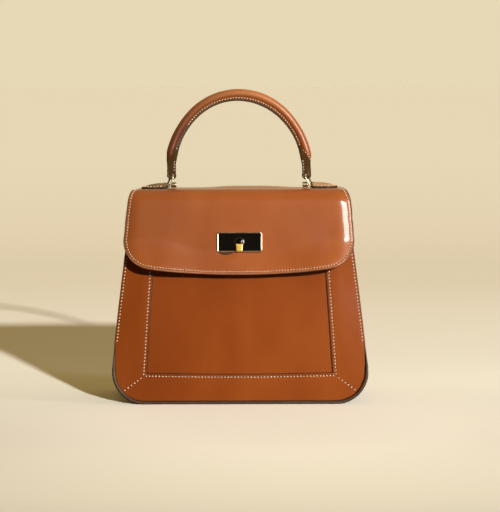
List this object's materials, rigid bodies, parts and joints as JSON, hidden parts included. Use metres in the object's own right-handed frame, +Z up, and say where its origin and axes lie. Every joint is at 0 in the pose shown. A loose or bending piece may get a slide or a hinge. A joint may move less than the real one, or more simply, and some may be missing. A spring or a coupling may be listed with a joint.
{
  "type": "top handle bag",
  "caption": "Structured tan leather top handle bag with a front flap, turn lock and swinging rolled handle.",
  "frame": {"origin": "under the middle of the base, on the surface the bag stands on", "axes": "+Z up, -Y out of the front with the flap and lock, +X to the right seen from the front"},
  "size_m": [0.262, 0.104, 0.322],
  "materials": {
    "leather_tan": "smooth polished box leather",
    "leather_dark": "smooth dark leather",
    "edge_paint": "painted leather edge, satin",
    "lining": "soft matte lining leather",
    "board": "stiffening board",
    "gold_metal": "polished gold-toned metal",
    "black_lacquer": "black mirror gloss",
    "cord_core": "twisted cotton core",
    "thread": "waxed cream thread"
  },
  "bodies": {
    "body": {"centre_panel": "leather_tan", "frame_left": "leather_tan", "frame_right": "leather_tan", "frame_bottom": "leather_tan", "front_board": "board", "front_lining": "lining", "back_panel": "leather_tan", "back_yoke": "leather_tan", "back_board": "board", "back_lining": "lining", "gusset_left": "leather_tan", "gusset_right": "leather_tan", "base_leather": "leather_tan", "base_board": "board", "gusset_lining": "lining", "slip_pocket": "lining", "front_welt": "edge_paint", "back_welt": "edge_paint", "keeper": "gold_metal", "keeper_rivets": "gold_metal"},
    "flap": {"flap_leather": "leather_tan", "flap_board": "board", "flap_lining": "lining", "lock_plate": "black_lacquer", "lock_bezel": "gold_metal", "lock_collar": "black_lacquer", "lock_backing": "gold_metal", "lock_rivets": "gold_metal", "handle_tab_left": "leather_tan", "handle_tab_right": "leather_tan", "handle_post_left": "gold_metal", "handle_post_right": "gold_metal"},
    "lock": {"lock_lever": "gold_metal", "lock_shaft": "gold_metal", "lock_tongue": "gold_metal"},
    "handle": {"handle_core": "cord_core", "handle_cover": "leather_tan", "handle_strap_left": "leather_dark", "handle_strap_right": "leather_dark", "handle_link_left": "gold_metal", "handle_link_right": "gold_metal"}
  },
  "joints": [
    {"name": "flap_hinge", "type": "hinge", "parent": "body", "child": "flap", "pos_m": [0, 0.03214, 0.2173], "axis": [-1, 0, 0], "range_deg": [0, 100]},
    {"name": "lock_turn", "type": "hinge", "parent": "flap", "child": "lock", "pos_m": [0, -0.0464, 0.16582], "axis": [0, -0.9966, 0.0819], "range_deg": [0, 90]},
    {"name": "handle_swing", "type": "hinge", "parent": "flap", "child": "handle", "pos_m": [0, 0, 0.22215], "axis": [1, 0, 0], "range_deg": [-75, 75]}
  ]
}
